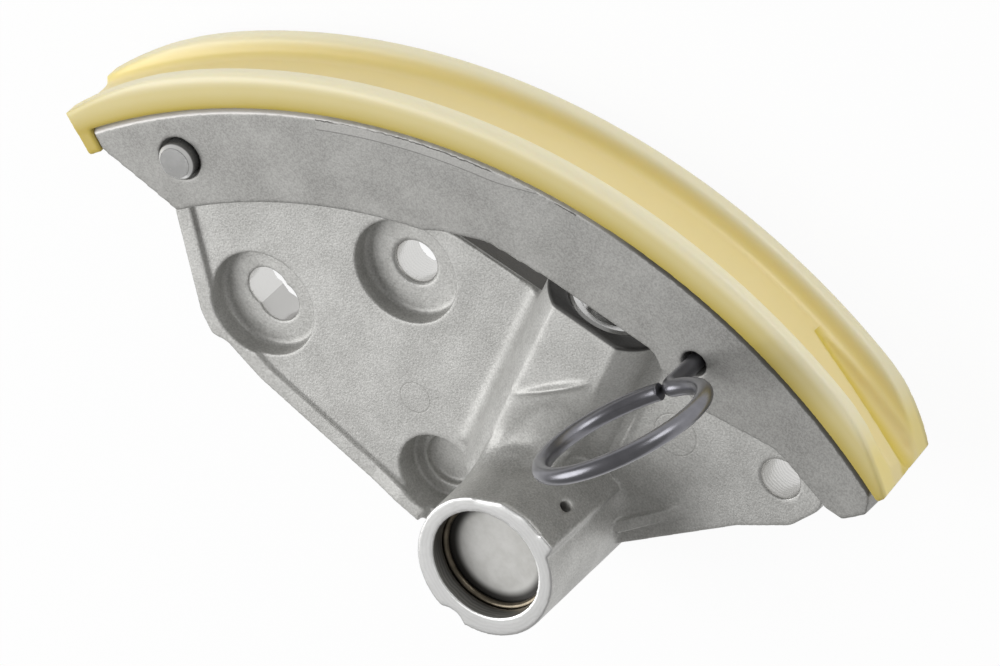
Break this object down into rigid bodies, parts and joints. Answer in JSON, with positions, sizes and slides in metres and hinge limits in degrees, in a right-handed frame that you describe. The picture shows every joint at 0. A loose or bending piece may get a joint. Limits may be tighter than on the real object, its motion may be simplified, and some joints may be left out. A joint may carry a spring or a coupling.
{
  "type": "timing chain tensioner",
  "caption": "Hydraulic timing chain tensioner with a cast housing, a swinging curved lever, a plastic guide shoe, a sprung piston and a wire lock pin.",
  "frame": {"origin": "axis of the upper bolt hole, at the mounting face of the housing", "axes": "+Z along the bolt hole, away from the engine; +Y the way that the piston pushes; +X towards the free end of the lever"},
  "size_m": [0.1362, 0.0786, 0.0531],
  "materials": {
    "cast_housing": "as cast",
    "cast_lever": "as cast",
    "shoe_plastic": "moulded",
    "ground_steel": "ground",
    "spring_steel": "oiled",
    "plug_steel": "pressed",
    "seal_rubber": "matte",
    "ring_steel": "phosphated",
    "wire_steel": "drawn wire"
  },
  "bodies": {
    "housing": {"housing": "cast_housing", "pivot_pin": "ground_steel", "piston_spring": "spring_steel", "valve_seat": "ground_steel", "valve_ball": "ground_steel", "valve_cage": "ground_steel", "valve_spring": "spring_steel", "bore_plug": "plug_steel", "plug_seal": "seal_rubber", "plug_ring": "ring_steel"},
    "lever": {"lever": "cast_lever", "guide_shoe": "shoe_plastic"},
    "piston": {"piston": "ground_steel"},
    "lock_pin": {"lock_pin": "wire_steel"}
  },
  "joints": [
    {"name": "lever_swing", "type": "hinge", "parent": "housing", "child": "lever", "pos_m": [-0.0365, -0.0006, 0], "axis": [0, 0, 1], "range_deg": [0, 9]},
    {"name": "piston_slide", "type": "slide", "parent": "housing", "child": "piston", "axis": [0, 1, 0], "range_m": [0, 0.0106], "deforming": ["piston_spring"]},
    {"name": "lock_pin_pull", "type": "slide", "parent": "lever", "child": "lock_pin", "axis": [0, 0, 1], "range_m": [-0.005, 0.008]}
  ],
  "couplings": [
    {"joint": "piston_slide", "follows": "lever_swing", "m_per_rad": 0.0665}
  ]
}
